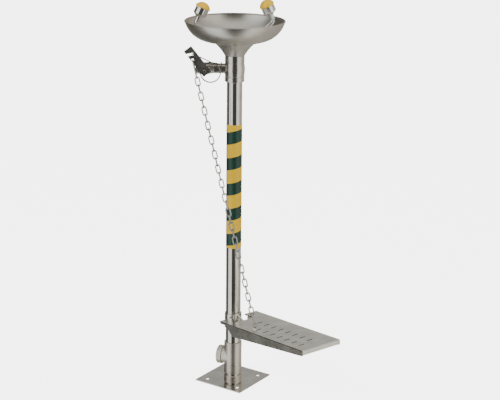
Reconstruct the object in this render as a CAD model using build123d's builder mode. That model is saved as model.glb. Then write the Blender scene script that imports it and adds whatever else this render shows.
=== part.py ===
"""Pedestal eyewash station worked by a foot treadle, a pull chain and a lever ball valve.

Frame: origin on the pipe axis at the underside of the base plate, +Z up, -X along the water
inlet branch.  Millimetres.
"""
from build123d import *
from math import acos, atan2, cos, hypot, pi, radians, sin, sqrt
import os

os.makedirs("parts", exist_ok=True)

# ------------------------------------------------------------------ directions (degrees about Z)
waste_turn = 159.5      # waste outlet branch, measured from +X
base_turn = -35.1       # one edge of the base plate
treadle_turn = -51.9    # the treadle's long centre line
heads_turn = 17.9       # the line through both spray heads

# ------------------------------------------------------------------ fits
thread_gap = 0.05       # modelled gap of a screwed joint, on the radius
run_gap = 0.05          # running clearance of a turning fit, on the radius
part_gap = 0.35         # free space between pieces that move past each other
hang_gap = 0.7          # free space of the chain in the lever's hole and in the eye

# ------------------------------------------------------------------ heights down from the rim
rim_z = 1037.0          # height of the eyewash bowl's rim
bowl_depth = 55.0
cone_h = 39.0           # waste cone, bowl to tee
top_tee_h = 72.0
head_above_rim = 12.5   # foot of a spray cup

# ------------------------------------------------------------------ stand pipe and base
pipe_r = 21.2           # 1 1/4 inch tube, 42.4 outside
pipe_wall = 2.0
pipe_entry = 14.0       # depth that the pipe enters the upper tee
pipe_top = rim_z - bowl_depth - cone_h - top_tee_h + pipe_entry
base_side = 155.0
base_t = 3.0
base_hole_r = 5.5
base_hole_pitch = 104.0
ring_wall = 4.0
ring_r = pipe_r + ring_wall  # welded ring at the foot
ring_h = 11.0
nipple_wall = 3.4
plug_t = 4.0
plug_drop = 6.0         # plug's top below the nipple's

# ------------------------------------------------------------------ lower (waste) tee
tee_bottom = 20.0
tee_top = 115.0
tee_axis_z = 69.0
tee_wall = 3.6
tee_band_wall = 4.1     # wall at the two end bands
tee_low_band = 25.0
tee_high_band = 15.0
tee_r = pipe_r + tee_wall
tee_band_r = pipe_r + tee_band_wall
tee_socket = 20.0       # depth that a pipe enters
waste_past = 19.2
waste_reach = tee_r + waste_past  # outlet face from the pipe axis
waste_r = 26.6
waste_neck_r = 23.6
waste_collar_w = 15.0
waste_thread_r = 20.9
waste_thread_depth = 17.0
water_r = pipe_r - 3.2  # waterway inside both tees

# ------------------------------------------------------------------ upper (inlet) tee
top_tee_bottom = rim_z - bowl_depth - cone_h - top_tee_h
top_tee_top = rim_z - bowl_depth - cone_h
top_tee_wall = 5.4
top_tee_belly = 1.4
top_tee_r = pipe_r + top_tee_wall
top_tee_belly_r = top_tee_r + top_tee_belly
top_tee_low_band = 15.0
top_tee_high_band = 20.0
inlet_rise = 35.5       # inlet axis above the upper tee's foot
inlet_z = top_tee_bottom + inlet_rise
boss_r = 13.6
boss_past = 20.0
boss_reach = top_tee_belly_r + boss_past
boss_thread_r = 10.4
spigot_len = 13.0
riser_r = 8.0
riser_wall = 1.2
riser_bend = 12.0

# ------------------------------------------------------------------ hazard sleeve
sleeve_bottom = 400.0
sleeve_top = 753.0
sleeve_t = 0.6

# ------------------------------------------------------------------ bowl and waste cone
rim_r = 134.0
bowl_bottom_z = rim_z - bowl_depth
bowl_flat_r = 66.0
bowl_wall = 1.2
bead_r = 2.2
drain_r = 30.0
cone_top_r = 62.0
cone_wall = 1.5
cone_overhang = 0.9
cone_bottom_r = top_tee_r + cone_overhang
cone_sag = 1.7          # hollow of the cone's curved side
strainer_r = 37.0
strainer_t = 1.0
strainer_hole_r = 2.0
strainer_rings = ((15.0, 10), (22.0, 16))  # radius of each ring of holes, count

# ------------------------------------------------------------------ manifold, arms and spray heads
manifold_r = 16.0
manifold_h = 22.0
manifold_socket = 6.0   # depth that the riser enters
manifold_roof = 4.0
manifold_rise = 6.0
manifold_z = bowl_bottom_z + manifold_rise  # its underside
arm_r = 6.35
arm_rise = 12.0
arm_wall = 1.0
arm_z = manifold_z + arm_rise
arm_knee_x = 74.0
arm_bend = 13.0
arm_in = 5.0            # depth that the arm enters the manifold
arm_tail = 22.0         # straight run of the arm into its cup
arm_entry = 4.0         # depth that the arm enters the cup
head_x = 101.0
head_z = rim_z + head_above_rim
head_tilt = 25.4
cup_r = 18.3
cup_h = 24.5
cup_wall = 1.6
cup_cone_h = 7.0
cup_hub_r = 9.0
insert_t = 4.0
insert_drop = 4.0       # insert's face below the cup's rim
insert_hole_r = 1.0
insert_rings = ((5.0, 6), (9.5, 10), (13.5, 16))
cap_flange_t = 3.0
cap_dome = 14.0
cap_lip = 2.0
cap_wall = 1.6
cap_skirt = 2.5         # depth of the cap's skirt in the cup

# ------------------------------------------------------------------ ball valve and lever
valve_x = -80.6         # stem axis
valve_in = 25.0         # stem axis to the inlet end
valve_hex_len = 10.0
seat_back = 1.5         # seats reach this far past the ball
ball_r = 10.5
ball_land = 4.0         # ball's radius less its port's
port_r = ball_r - ball_land
chamber_gap = 3.3
chamber_r = ball_r + chamber_gap
valve_wall = 2.7
valve_r = chamber_r + valve_wall
seat_t = 5.0
inlet_thread_r = 9.3
inlet_thread_depth = 9.0
inlet_hex = 27.0        # across flats
stem_r = 4.5
tang_depth = 2.5        # stem's tang in the ball
tang_w = 4.0
stem_boss_r = 10.0
stem_boss_y = 21.0      # face of the stem boss, forward of the valve axis
gland_hex = 14.0
gland_t = 5.5
gland_wall = 3.0        # boss wall round the packing
gland_screw = 3.0       # gland nut's thread in the boss
packing_t = 3.0
lever_y = 33.5          # back face of the lever plate
lever_t = 3.0
lever_w = 24.8
lever_tail = 12.0
lever_len = 74.4
lever_angle = 127.8     # lever's direction at rest, from +X towards +Z
notch_w = 6.5
notch_along = 61.5      # the hook slot's middle, at the lever's edge
notch_reach = 18.7      # edge to the slot's inner end
notch_lean = 64.7       # the slot's direction, from the lever's own
hole_along = 42.3
hole_side = 7.7
hole_r = 3.5
stem_end_r = 4.0
lever_nut = 13.0

# ------------------------------------------------------------------ return spring
spring_wire = 3.0
spring_mean_r = 26.7
spring_off_x = 15.4     # coil centre from the stem axis
spring_off_z = -6.6
spring_pitch = 3.3
spring_back_y = 22.85

# ------------------------------------------------------------------ treadle and its hinge
treadle_z = 191.3       # top face where its plane crosses the pipe axis
treadle_tilt = 4.5      # free end up, at rest
treadle_rear = 9.0
treadle_front = 367.0
treadle_near = -55.0
treadle_far = 77.0
sheet_t = 3.0
bend_r = 3.5            # outside of the front lip's bend
lip_h = 13.0
rib_inset = 0.5
rib_t = 3.0
rib_start = 38.0        # where the deep part's slanted end begins
rib_full = 62.0         # where it is fully deep
rib_deep = 34.5         # below the top face, beside the hinge
rib_shallow = 17.0      # at the free end
rib_heel = 8.0
slot_len = 20.0
slot_w = 5.0
slot_pitch = 30.1
slot_first = 102.0
slot_rows = ((16.0, 0, 9), (-25.5, 1.5, 7))  # place across, start in pitches, count
pivot_z = 178.0
pin_r = 4.0
collar_wall = 2.95
collar_r = pipe_r + collar_wall
pivot_past = 13.85      # hinge pin's axis beyond the collar
notch_past = 14.0       # notch's end beyond the hinge pin
notch_room_near = 3.85  # notch's side clear of the collar
notch_room_far = 9.85
pivot_u = collar_r + pivot_past
notch_end = pivot_u + notch_past
notch_near = -collar_r - notch_room_near
notch_far = collar_r + notch_room_far
collar_bottom = 160.0
collar_top = 203.0
lug_t = 6.0
lug_eye_wall = 11.5
lug_tip_r = pin_r + lug_eye_wall
cheek_t = 3.0
cheek_from = 20.0
cheek_to = 62.0
cheek_deep = 26.0
spacer_wall = 2.5
spacer_r = pin_r + spacer_wall
eye_u = 135.0
eye_v = -29.0
eye_h = 11.0
eye_ring_r = 5.75       # to the middle of the eye's wire
eye_wire_r = 1.75
eye_stem_r = 3.0
small_nut = 10.0        # across flats, M6
pin_nut = 13.0          # across flats, M8
washer_r = 8.0
washer_t = 1.6
head_t = 5.3
nut_t = 6.8
pin_past = 2.0          # pin beyond its nut
small_nut_t = 5.0
thin_nut_t = 3.0        # the eye bolt's upper nut
eye_stem_past = 3.5     # eye bolt's stem beyond its lower nut

# ------------------------------------------------------------------ chain
chain_wire = 3.8
link_w = 15.0
top_link_w = 17.0       # the link that straddles the lever plate
top_link_line = 50.3    # long connector at the lever, between its end wires
end_link_line = 31.6    # end link at the eye
link_nominal = 20.2     # pitch that the link count is chosen for
link_gap = 0.1


def save(builder, name):
    """Label a finished piece and write its STEP file."""
    builder.part.label = name
    export_step(builder.part, f"parts/{name}.step")


def turned(angle):
    """Unit vector in the horizontal plane at an angle from +X."""
    return Vector(cos(radians(angle)), sin(radians(angle)), 0)


def hex_radius(flats):
    """Corner radius of a hexagon from its size across flats."""
    return flats / sqrt(3)


up = Vector(0, 0, 1)

# ================================================================== base
base_plane = Plane(origin=(0, 0, 0), x_dir=turned(base_turn), z_dir=up)
with BuildPart() as base_plate:
    with BuildSketch(base_plane):
        RectangleRounded(base_side, base_side, 2.0)
        with GridLocations(base_hole_pitch, base_hole_pitch, 2, 2):
            Circle(base_hole_r, mode=Mode.SUBTRACT)
    extrude(amount=base_t)
save(base_plate, "base_plate")

nipple_top = tee_bottom + tee_socket
with BuildPart() as foot_nipple:
    with BuildSketch(Plane.XY.offset(base_t)):
        Circle(pipe_r)
        Circle(pipe_r - nipple_wall, mode=Mode.SUBTRACT)
    extrude(amount=nipple_top - base_t)
save(foot_nipple, "foot_nipple")

with BuildPart() as foot_ring:
    with BuildSketch(Plane.XY.offset(base_t)):
        Circle(ring_r)
        Circle(pipe_r + thread_gap, mode=Mode.SUBTRACT)
    extrude(amount=ring_h)
    chamfer(foot_ring.edges().group_by(Axis.Z)[-1].sort_by(SortBy.LENGTH)[-1], 1.2)
save(foot_ring, "foot_ring")

with BuildPart() as blanking_plug:
    with BuildSketch(Plane.XY.offset(nipple_top - plug_t - plug_drop)):
        Circle(pipe_r - nipple_wall)
    extrude(amount=plug_t)
save(blanking_plug, "blanking_plug")

# ================================================================== lower tee
waste_dir = turned(waste_turn)
waste_plane = Plane(origin=(0, 0, tee_axis_z), x_dir=(0, 0, 1), z_dir=waste_dir)
with BuildPart() as lower_tee:
    with BuildSketch(Plane.XY.offset(tee_bottom)):
        Circle(tee_r)
    extrude(amount=tee_top - tee_bottom)
    for band_z, band_h in ((tee_bottom, tee_low_band), (tee_top - tee_high_band, tee_high_band)):
        with BuildSketch(Plane.XY.offset(band_z)):
            Circle(tee_band_r)
        extrude(amount=band_h)
    with BuildSketch(waste_plane):
        Circle(waste_neck_r)
    extrude(amount=waste_reach - 1)
    with BuildSketch(waste_plane.offset(waste_reach - waste_collar_w)):
        Circle(waste_r)
    extrude(amount=waste_collar_w)
    mouth = lower_tee.faces().sort_by(Axis(origin=(0, 0, tee_axis_z), direction=waste_dir))[-1]
    chamfer(mouth.edges(), 1.4)
    fillet(lower_tee.edges().group_by(Axis.Z)[0], 1.0)
    fillet(lower_tee.edges().group_by(Axis.Z)[-1], 1.0)
    with BuildSketch(Plane.XY.offset(tee_bottom)):
        Circle(water_r)
    extrude(amount=tee_top - tee_bottom, mode=Mode.SUBTRACT)
    for socket_z in (tee_bottom, tee_top - tee_socket):
        with BuildSketch(Plane.XY.offset(socket_z)):
            Circle(pipe_r + thread_gap)
        extrude(amount=tee_socket, mode=Mode.SUBTRACT)
    with BuildSketch(waste_plane):
        Circle(water_r)
    extrude(amount=waste_reach, mode=Mode.SUBTRACT)
    with BuildSketch(waste_plane.offset(waste_reach - waste_thread_depth)):
        Circle(waste_thread_r)
    extrude(amount=waste_thread_depth, mode=Mode.SUBTRACT)
save(lower_tee, "lower_tee")

# ================================================================== stand pipe and hazard sleeve
with BuildPart() as stand_pipe:
    with BuildSketch(Plane.XY.offset(tee_top - tee_socket)):
        Circle(pipe_r)
        Circle(pipe_r - pipe_wall, mode=Mode.SUBTRACT)
    extrude(amount=pipe_top - (tee_top - tee_socket))
save(stand_pipe, "stand_pipe")

with BuildPart() as hazard_sleeve:
    with BuildSketch(Plane.XY.offset(sleeve_bottom)):
        Circle(pipe_r + sleeve_t)
        Circle(pipe_r, mode=Mode.SUBTRACT)
    extrude(amount=sleeve_top - sleeve_bottom)
save(hazard_sleeve, "hazard_sleeve")

# ================================================================== upper tee
inlet_plane = Plane(origin=(0, 0, inlet_z), x_dir=(0, 0, 1), z_dir=(-1, 0, 0))
belly_low = top_tee_bottom + top_tee_low_band
belly_high = top_tee_top - top_tee_high_band
with BuildPart() as upper_tee:
    with BuildSketch(Plane.XZ):
        with BuildLine():
            Polyline(
                (0, belly_low), (0, top_tee_bottom), (top_tee_r - 1, top_tee_bottom),
                (top_tee_r, top_tee_bottom + 1), (top_tee_r, belly_low - 0.8),
                (top_tee_r - 0.8, belly_low),
            )
            ThreePointArc(
                (top_tee_r - 0.8, belly_low),
                (top_tee_belly_r, (belly_low + belly_high) / 2),
                (top_tee_r - 0.8, belly_high),
            )
            Polyline(
                (top_tee_r - 0.8, belly_high), (top_tee_r, belly_high + 0.8),
                (top_tee_r, top_tee_top - 1), (top_tee_r - 1, top_tee_top),
                (0, top_tee_top), (0, belly_low),
            )
        make_face()
    revolve(axis=Axis.Z)
    with BuildSketch(inlet_plane):
        Circle(boss_r)
    extrude(amount=boss_reach)
    boss_face = upper_tee.faces().sort_by(Axis.X)[0]
    chamfer(boss_face.edges(), 0.8)
    with BuildSketch(Plane.XY.offset(top_tee_bottom)):
        Circle(water_r)
    extrude(amount=top_tee_top - top_tee_bottom, mode=Mode.SUBTRACT)
    with BuildSketch(Plane.XY.offset(top_tee_bottom)):
        Circle(pipe_r + thread_gap)
    extrude(amount=pipe_top - top_tee_bottom, mode=Mode.SUBTRACT)
    with BuildSketch(Plane.XY.offset(top_tee_top - tee_socket)):
        Circle(pipe_r + thread_gap)
    extrude(amount=tee_socket, mode=Mode.SUBTRACT)
    with BuildSketch(inlet_plane):
        Circle(riser_r + thread_gap)
    extrude(amount=boss_reach, mode=Mode.SUBTRACT)
    with BuildSketch(inlet_plane.offset(boss_reach - spigot_len)):
        Circle(boss_thread_r + thread_gap)
    extrude(amount=spigot_len, mode=Mode.SUBTRACT)
save(upper_tee, "upper_tee")

# water riser inside the tee: in from the boss, round a bend and up to the manifold
riser_start = -(boss_reach - spigot_len)
with BuildPart() as riser_tube:
    with BuildLine(Plane.XZ) as riser_path:
        FilletPolyline(
            (riser_start, inlet_z), (0, inlet_z), (0, manifold_z + manifold_socket), radius=riser_bend,
        )
    with BuildSketch(Plane(origin=(riser_start, 0, inlet_z), z_dir=(1, 0, 0))):
        Circle(riser_r)
        Circle(riser_r - riser_wall, mode=Mode.SUBTRACT)
    sweep(path=riser_path.wires()[0])
save(riser_tube, "riser_tube")

# ================================================================== bowl, cone and strainer
with BuildPart() as bowl:
    with BuildSketch(Plane.XZ):
        with BuildLine():
            flat = Line((drain_r, bowl_bottom_z), (bowl_flat_r, bowl_bottom_z))
            side = TangentArc(flat @ 1, (rim_r, rim_z - bead_r), tangent=(1, 0))
            offset(amount=bowl_wall, side=Side.LEFT)
        make_face()
        with Locations((rim_r, rim_z - bead_r)):
            Circle(bead_r)
    revolve(axis=Axis.Z)
save(bowl, "bowl")

cone_mid_r = (cone_top_r + cone_bottom_r) / 2 - cone_sag
cone_mid_z = (bowl_bottom_z + top_tee_top) / 2 + cone_sag
with BuildPart() as waste_cone:
    with BuildSketch(Plane.XZ):
        with BuildLine():
            ThreePointArc(
                (cone_top_r, bowl_bottom_z), (cone_mid_r, cone_mid_z),
                (cone_bottom_r, top_tee_top),
            )
            Polyline(
                (cone_bottom_r, top_tee_top), (pipe_r, top_tee_top),
                (pipe_r, top_tee_top - tee_socket),
                (pipe_r - cone_wall, top_tee_top - tee_socket),
                (pipe_r - cone_wall, top_tee_top + cone_wall),
                (cone_bottom_r - cone_wall / 2, top_tee_top + cone_wall),
            )
            ThreePointArc(
                (cone_bottom_r - cone_wall / 2, top_tee_top + cone_wall),
                (cone_mid_r - cone_wall, cone_mid_z + cone_wall),
                (cone_top_r - 2 * cone_wall, bowl_bottom_z),
            )
            Line((cone_top_r - 2 * cone_wall, bowl_bottom_z), (cone_top_r, bowl_bottom_z))
        make_face()
    revolve(axis=Axis.Z)
save(waste_cone, "waste_cone")

strainer_z = bowl_bottom_z + bowl_wall
with BuildPart() as strainer:
    with BuildSketch(Plane.XY.offset(strainer_z)):
        Circle(strainer_r)
        Circle(riser_r + part_gap, mode=Mode.SUBTRACT)
        for ring_radius, ring_holes in strainer_rings:
            with PolarLocations(ring_radius, ring_holes):
                Circle(strainer_hole_r, mode=Mode.SUBTRACT)
    extrude(amount=strainer_t)
    fillet(strainer.edges().group_by(Axis.Z)[-1].sort_by(SortBy.LENGTH)[-1], 0.6)
save(strainer, "strainer")

# ================================================================== manifold, arms, spray heads
heads_dir = turned(heads_turn)
with BuildPart() as manifold:
    with BuildSketch(Plane.XY.offset(manifold_z)):
        Circle(manifold_r)
    extrude(amount=manifold_h)
    fillet(manifold.edges().group_by(Axis.Z)[-1], 4.0)
    chamfer(manifold.edges().group_by(Axis.Z)[0], 1.0)
    with BuildSketch(Plane.XY.offset(manifold_z)):
        Circle(riser_r + thread_gap)
    extrude(amount=manifold_socket, mode=Mode.SUBTRACT)
    with BuildSketch(Plane.XY.offset(manifold_z + manifold_socket)):
        Circle(riser_r - riser_wall)
    extrude(amount=manifold_h - manifold_socket - manifold_roof, mode=Mode.SUBTRACT)
    with BuildSketch(Plane(origin=heads_dir * -manifold_r + up * arm_z, z_dir=heads_dir)):
        Circle(arm_r + thread_gap)
    extrude(amount=2 * manifold_r, mode=Mode.SUBTRACT)
save(manifold, "manifold")

arm_start = manifold_r - arm_in
for side_name, sign in (("left", -1), ("right", 1)):
    side_dir = heads_dir * sign
    side_plane = Plane(origin=(0, 0, 0), x_dir=side_dir, z_dir=side_dir.cross(up))
    tilt = radians(head_tilt)
    head_axis = side_dir * -sin(tilt) + up * cos(tilt)
    head_base = side_dir * head_x + up * head_z
    head_plane = Plane(origin=head_base, x_dir=side_dir.cross(up), z_dir=head_axis)

    with BuildPart() as spray_arm:
        with BuildLine(side_plane) as arm_path:
            FilletPolyline(
                (arm_start, arm_z), (arm_knee_x, arm_z),
                (head_x + arm_tail * sin(tilt), head_z - arm_tail * cos(tilt)),
                (head_x - arm_entry * sin(tilt), head_z + arm_entry * cos(tilt)), radius=arm_bend,
            )
        with BuildSketch(Plane(origin=side_dir * arm_start + up * arm_z, z_dir=side_dir)):
            Circle(arm_r)
            Circle(arm_r - arm_wall, mode=Mode.SUBTRACT)
        sweep(path=arm_path.wires()[0])
    save(spray_arm, f"spray_arm_{side_name}")

    with BuildPart() as spray_cup:
        with BuildSketch(head_plane):
            Circle(cup_hub_r)
        with BuildSketch(head_plane.offset(cup_cone_h)):
            Circle(cup_r)
        loft()
        with BuildSketch(head_plane.offset(cup_cone_h)):
            Circle(cup_r)
        extrude(amount=cup_h - cup_cone_h)
        with BuildSketch(head_plane.offset(cup_cone_h + cup_wall)):
            Circle(cup_r - cup_wall)
        extrude(amount=cup_h, mode=Mode.SUBTRACT)
        with BuildSketch(head_plane):
            Circle(arm_r + thread_gap)
        extrude(amount=arm_entry, mode=Mode.SUBTRACT)
        with BuildSketch(head_plane):
            Circle(arm_r - arm_wall)
        extrude(amount=cup_h, mode=Mode.SUBTRACT)
    save(spray_cup, f"spray_cup_{side_name}")

    insert_z = cup_h - insert_t - insert_drop
    with BuildPart() as spray_insert:
        with BuildSketch(head_plane.offset(insert_z)):
            Circle(cup_r - cup_wall)
            for ring_radius, ring_holes in insert_rings:
                with PolarLocations(ring_radius, ring_holes):
                    Circle(insert_hole_r, mode=Mode.SUBTRACT)
        extrude(amount=insert_t)
    save(spray_insert, f"spray_insert_{side_name}")

    cap_z = cup_h + part_gap
    cap_r = cup_r + cap_lip
    skirt_r = cup_r - cup_wall - part_gap
    dome_r = (cap_r**2 + cap_dome**2) / (2 * cap_dome)
    dome_half = atan2(cap_r, dome_r - cap_dome) / 2
    with BuildPart() as dust_cap:
        with BuildSketch(head_plane.offset(cap_z)):
            Circle(cap_r)
        extrude(amount=cap_flange_t)
        dome_plane = Plane(
            origin=head_base + head_axis * (cap_z + cap_flange_t),
            x_dir=side_dir.cross(up), z_dir=side_dir.cross(up).cross(head_axis),
        )
        with BuildSketch(dome_plane):
            with BuildLine():
                Line((0, 0), (cap_r, 0))
                ThreePointArc(
                    (cap_r, 0),
                    (dome_r * sin(dome_half), dome_r * cos(dome_half) - dome_r + cap_dome),
                    (0, cap_dome),
                )
                Line((0, cap_dome), (0, 0))
            make_face()
        revolve(axis=Axis(origin=head_base, direction=head_axis))
        with BuildSketch(head_plane.offset(cap_z - cap_skirt)):
            Circle(skirt_r)
        extrude(amount=cap_skirt)
        with BuildSketch(head_plane.offset(cap_z - cap_skirt)):
            Circle(skirt_r - cap_wall)
        extrude(amount=cap_skirt + cap_flange_t - cap_wall, mode=Mode.SUBTRACT)
    save(dust_cap, f"dust_cap_{side_name}")

# ================================================================== ball valve
valve_axis = Axis(origin=(valve_x, 0, inlet_z), direction=(1, 0, 0))
valve_right = -boss_reach  # the body seats on the tee's boss
valve_left = valve_x - valve_in
cap_joint = valve_left + valve_hex_len  # the end cap's hexagon meets the body here
seat_left = valve_x - ball_r - seat_back  # outer faces of the two seats
seat_right = valve_x + ball_r + seat_back
spigot_end = -(boss_reach - spigot_len)  # spigot seats where the riser begins
with BuildPart() as valve_body:
    with BuildSketch(Plane.XZ):
        with BuildLine():
            Polyline(
                (cap_joint, inlet_z), (cap_joint, inlet_z + valve_r - 1),
                (cap_joint + 1, inlet_z + valve_r), (valve_x + 8, inlet_z + valve_r),
                (valve_right - 9, inlet_z + 13), (valve_right - 8, inlet_z + 13.6),
                (valve_right, inlet_z + 13.6), (valve_right, inlet_z + boss_thread_r),
                (spigot_end, inlet_z + boss_thread_r), (spigot_end, inlet_z),
                (cap_joint, inlet_z),
            )
        make_face()
    revolve(axis=valve_axis)
    with BuildSketch(Plane(origin=(valve_x, 0, inlet_z), x_dir=(1, 0, 0), z_dir=(0, -1, 0))):
        Circle(stem_boss_r)
    extrude(amount=stem_boss_y)
    with BuildSketch(Plane(origin=(cap_joint, 0, inlet_z), z_dir=(1, 0, 0))):
        Circle(chamber_r)
    extrude(amount=seat_right - cap_joint, mode=Mode.SUBTRACT)
    with BuildSketch(Plane(origin=(valve_x, 0, inlet_z), z_dir=(1, 0, 0))):
        Circle(port_r)
    extrude(amount=spigot_end - valve_x, mode=Mode.SUBTRACT)
    with BuildSketch(Plane(origin=(valve_x, 0, inlet_z), z_dir=(0, -1, 0))):
        Circle(stem_r + run_gap)
    extrude(amount=stem_boss_y, mode=Mode.SUBTRACT)
    with BuildSketch(Plane(origin=(valve_x, -stem_boss_y, inlet_z), z_dir=(0, 1, 0))):
        Circle(stem_boss_r - gland_wall)
    extrude(amount=gland_screw + packing_t, mode=Mode.SUBTRACT)
save(valve_body, "valve_body")

with BuildPart() as valve_end_cap:
    with BuildSketch(Plane(origin=(valve_left, 0, inlet_z), z_dir=(1, 0, 0))):
        RegularPolygon(hex_radius(inlet_hex), 6)
    extrude(amount=cap_joint - valve_left)
    with BuildSketch(Plane(origin=(cap_joint, 0, inlet_z), z_dir=(1, 0, 0))):
        Circle(chamber_r - thread_gap)
    extrude(amount=seat_left - cap_joint)
    with BuildSketch(Plane(origin=(valve_left, 0, inlet_z), z_dir=(1, 0, 0))):
        Circle(port_r)
    extrude(amount=seat_left - valve_left, mode=Mode.SUBTRACT)
    with BuildSketch(Plane(origin=(valve_left, 0, inlet_z), z_dir=(1, 0, 0))):
        Circle(inlet_thread_r)
    extrude(amount=inlet_thread_depth, mode=Mode.SUBTRACT)
save(valve_end_cap, "valve_end_cap")

with BuildPart() as ball_seats:
    seat_h = chamber_r - thread_gap - port_r
    with BuildSketch(Plane.XZ):
        for seat_x in (seat_left, seat_right - seat_t):
            with Locations((seat_x + seat_t / 2, inlet_z + port_r + seat_h / 2)):
                Rectangle(seat_t, seat_h)
        with Locations((valve_x, inlet_z)):
            Circle(ball_r + run_gap, mode=Mode.SUBTRACT)
    revolve(axis=valve_axis)
save(ball_seats, "ball_seats")

with BuildPart() as valve_ball:
    with Locations((valve_x, 0, inlet_z)):
        Sphere(ball_r)
        Cylinder(port_r, 2 * ball_r + 2, mode=Mode.SUBTRACT)
    with Locations((valve_x, -ball_r + tang_depth / 2, inlet_z)):
        Box(tang_w + 2 * run_gap, tang_depth + 2 * run_gap, 2 * ball_r, mode=Mode.SUBTRACT)
save(valve_ball, "valve_ball")

stem_tip = lever_y + lever_t + washer_t + nut_t + pin_past
with BuildPart() as valve_stem:
    with BuildSketch(Plane(origin=(valve_x, -ball_r, inlet_z), z_dir=(0, -1, 0))):
        Circle(stem_r)
    extrude(amount=lever_y - ball_r)
    with BuildSketch(Plane(origin=(valve_x, -lever_y, inlet_z), z_dir=(0, -1, 0))):
        Circle(stem_end_r)
    extrude(amount=stem_tip - lever_y)
    with Locations((valve_x, -ball_r + tang_depth / 2, inlet_z)):
        Box(tang_w, tang_depth, 2 * stem_r - 2)
    chamfer(valve_stem.edges().group_by(Axis.Y)[0], 0.7)
save(valve_stem, "valve_stem")

with BuildPart() as stem_packing:
    with BuildSketch(Plane(
        origin=(valve_x, -stem_boss_y + gland_screw + packing_t, inlet_z), z_dir=(0, -1, 0),
    )):
        Circle(stem_boss_r - gland_wall)
        Circle(stem_r + run_gap, mode=Mode.SUBTRACT)
    extrude(amount=packing_t)
save(stem_packing, "stem_packing")

with BuildPart() as gland_nut:
    with BuildSketch(Plane(origin=(valve_x, -stem_boss_y + gland_screw, inlet_z), z_dir=(0, -1, 0))):
        Circle(stem_boss_r - gland_wall)
    extrude(amount=gland_screw)
    with BuildSketch(Plane(origin=(valve_x, -stem_boss_y, inlet_z), z_dir=(0, -1, 0))):
        RegularPolygon(hex_radius(gland_hex), 6)
    extrude(amount=gland_t)
    with BuildSketch(Plane(origin=(valve_x, -stem_boss_y + gland_screw, inlet_z), z_dir=(0, -1, 0))):
        Circle(stem_r + run_gap)
    extrude(amount=gland_screw + gland_t, mode=Mode.SUBTRACT)
save(gland_nut, "gland_nut")

# ================================================================== lever on the stem
# lever frame: local x along the lever, local y to its chain side, thickness towards the front
lever_dir = Vector(cos(radians(lever_angle)), 0, sin(radians(lever_angle)))
lever_side = Vector(cos(radians(lever_angle + 90)), 0, sin(radians(lever_angle + 90)))
stem_point = Vector(valve_x, -lever_y, inlet_z)
lever_plane = Plane(origin=stem_point, x_dir=lever_dir, z_dir=lever_dir.cross(lever_side))
with BuildPart() as lever_plate:
    with BuildSketch(lever_plane):
        with Locations(((lever_len - lever_tail) / 2, 0)):
            RectangleRounded(lever_len + lever_tail, lever_w, 2.0)
        with Locations((notch_along, lever_w / 2)):
            SlotOverall(2 * notch_reach, notch_w, rotation=notch_lean, mode=Mode.SUBTRACT)
        with Locations((hole_along, hole_side)):
            Circle(hole_r, mode=Mode.SUBTRACT)
        Circle(stem_end_r, mode=Mode.SUBTRACT)
    extrude(amount=lever_t)
save(lever_plate, "lever_plate")

with BuildPart() as lever_washer:
    with BuildSketch(lever_plane.offset(lever_t)):
        Circle(washer_r)
        Circle(stem_end_r, mode=Mode.SUBTRACT)
    extrude(amount=washer_t)
save(lever_washer, "lever_washer")

with BuildPart() as lever_nut_part:
    with BuildSketch(lever_plane.offset(lever_t + washer_t)):
        RegularPolygon(hex_radius(lever_nut), 6)
        Circle(stem_end_r, mode=Mode.SUBTRACT)
    extrude(amount=nut_t)
save(lever_nut_part, "lever_nut")

# ================================================================== return spring
coil = Vector(valve_x + spring_off_x, 0, inlet_z + spring_off_z)
catch_reach = notch_reach - notch_w / 2
notch_catch = (
    stem_point + lever_dir * (notch_along - catch_reach * cos(radians(notch_lean)))
    + lever_side * (lever_w / 2 - catch_reach * sin(radians(notch_lean)))
)


def tangent_angle(point, side):
    """Angle of the point where a line from a point touches the coil's circle."""
    reach = hypot(point.X - coil.X, point.Z - coil.Z)
    heading = atan2(point.Z - coil.Z, point.X - coil.X)
    return heading + side * acos(spring_mean_r / reach)


def on_coil(angle, y):
    """Point on the coil's circle at an angle from +X towards +Z."""
    return Vector(coil.X + spring_mean_r * cos(angle), y, coil.Z + spring_mean_r * sin(angle))


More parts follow.
